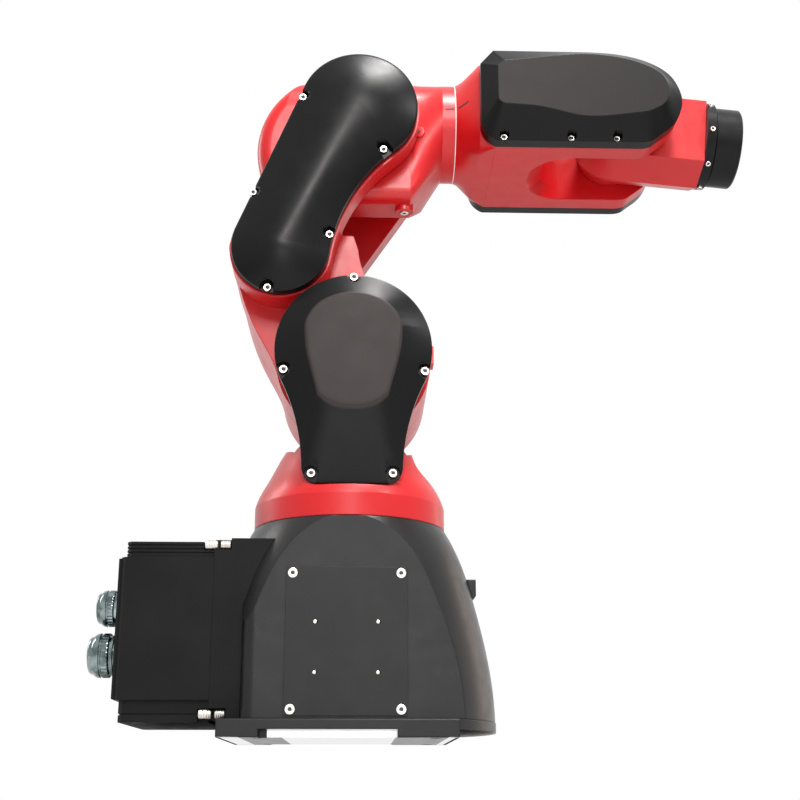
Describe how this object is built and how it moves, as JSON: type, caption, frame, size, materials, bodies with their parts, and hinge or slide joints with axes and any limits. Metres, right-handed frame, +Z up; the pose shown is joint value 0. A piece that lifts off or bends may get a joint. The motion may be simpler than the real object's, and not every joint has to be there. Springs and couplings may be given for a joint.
{
  "type": "industrial robot arm",
  "caption": "Small six-axis industrial robot arm with red castings, black covers and a bell-shaped base with a connector box behind.",
  "frame": {"origin": "on the waist axis, at the flat underside of the base plate", "axes": "+X forward, along the forearm at rest; +Y to the robot's left; +Z up along the waist axis"},
  "size_m": [0.6583, 0.2085, 0.6969],
  "materials": {
    "base_black": "satin black paint",
    "panel_black": "satin black paint",
    "box_black": "matt black paint",
    "cover_black": "satin moulded plastic",
    "flange_black": "black anodised",
    "red_paint": "smooth red paint",
    "steel": "turned steel",
    "connector_metal": "plated metal"
  },
  "bodies": {
    "base": {"base_plate": "base_black", "base_housing": "base_black", "side_panel_right": "panel_black", "side_panel_left": "panel_black", "connector_box": "box_black", "box_neck": "box_black", "box_end_plate": "box_black", "box_clamp_screws": "steel", "plug_connector_upper": "connector_metal", "plug_connector_lower": "connector_metal", "front_lug": "base_black", "waist_bearing": "steel"},
    "turret": {"turret_casting": "red_paint", "shoulder_cover": "cover_black", "shoulder_shaft": "steel"},
    "upper_arm": {"upper_arm_casting": "red_paint", "far_lug": "red_paint", "belt_cover": "cover_black", "shoulder_cap": "red_paint", "elbow_cap": "red_paint", "elbow_shaft": "steel"},
    "elbow": {"elbow_casting": "red_paint", "forearm_bearing": "steel"},
    "forearm": {"forearm_casting": "red_paint", "forearm_cover_right": "cover_black", "forearm_cover_left": "cover_black", "wrist_pin_right": "steel", "wrist_pin_left": "steel"},
    "wrist": {"wrist_housing": "red_paint", "wrist_flange_ring": "flange_black"},
    "tool_flange": {"tool_flange": "flange_black", "flange_shaft": "steel"}
  },
  "joints": [
    {"name": "waist", "type": "hinge", "parent": "base", "child": "turret", "pos_m": [0, 0, 0.2], "axis": [0, 0, 1], "range_deg": [-170, 170]},
    {"name": "shoulder", "type": "hinge", "parent": "turret", "child": "upper_arm", "pos_m": [0.0025, 0, 0.366], "axis": [0, 1, 0], "range_deg": [-70, 90]},
    {"name": "elbow", "type": "hinge", "parent": "upper_arm", "child": "elbow", "pos_m": [0.006, 0, 0.62698], "axis": [0, -1, 0], "range_deg": [-55, 145]},
    {"name": "forearm_roll", "type": "hinge", "parent": "elbow", "child": "forearm", "pos_m": [0.1075, 0, 0.64098], "axis": [1, 0, 0], "range_deg": [-170, 170]},
    {"name": "wrist_bend", "type": "hinge", "parent": "forearm", "child": "wrist", "pos_m": [0.285, 0, 0.64098], "axis": [0, -1, 0], "range_deg": [-115, 115]},
    {"name": "flange_roll", "type": "hinge", "parent": "wrist", "child": "tool_flange", "pos_m": [0.38693, 0, 0.63116], "axis": [0.9954, 0, -0.0958], "range_deg": [-350, 350]}
  ]
}
